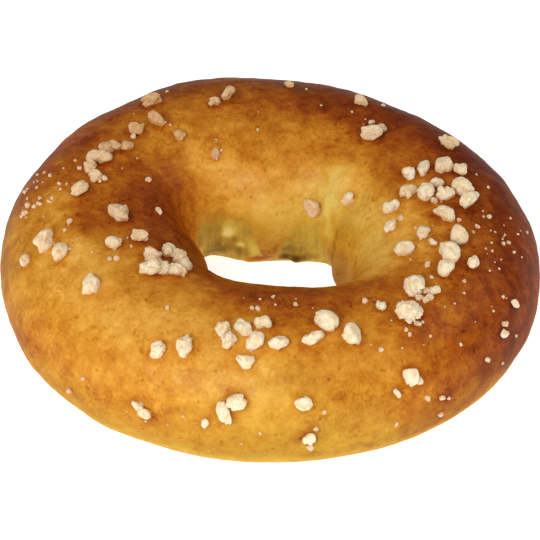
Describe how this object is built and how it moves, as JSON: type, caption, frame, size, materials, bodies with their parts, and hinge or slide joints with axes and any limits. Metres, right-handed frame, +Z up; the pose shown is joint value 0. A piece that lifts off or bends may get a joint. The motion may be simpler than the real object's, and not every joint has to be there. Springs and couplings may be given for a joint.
{
  "type": "king cake",
  "caption": "Ring-shaped sweet bread with a glazed, unevenly browned crust and coarse pearl sugar on top.",
  "frame": {"origin": "middle of the cake's box at the level of its flat base, under the hole", "axes": "+Z up through the hole, -Y towards the front that the picture shows nearest, +X to the right"},
  "size_m": [0.2054, 0.2018, 0.0552],
  "materials": {
    "brioche_crust": "egg-washed baked crust, golden orange in front, deep red-brown at the right and by the hole, satin sheen",
    "pearl_sugar": "coarse white sugar grains, matt and a little translucent"
  },
  "bodies": {
    "root": {"king_cake": "brioche_crust"}
  },
  "joints": []
}
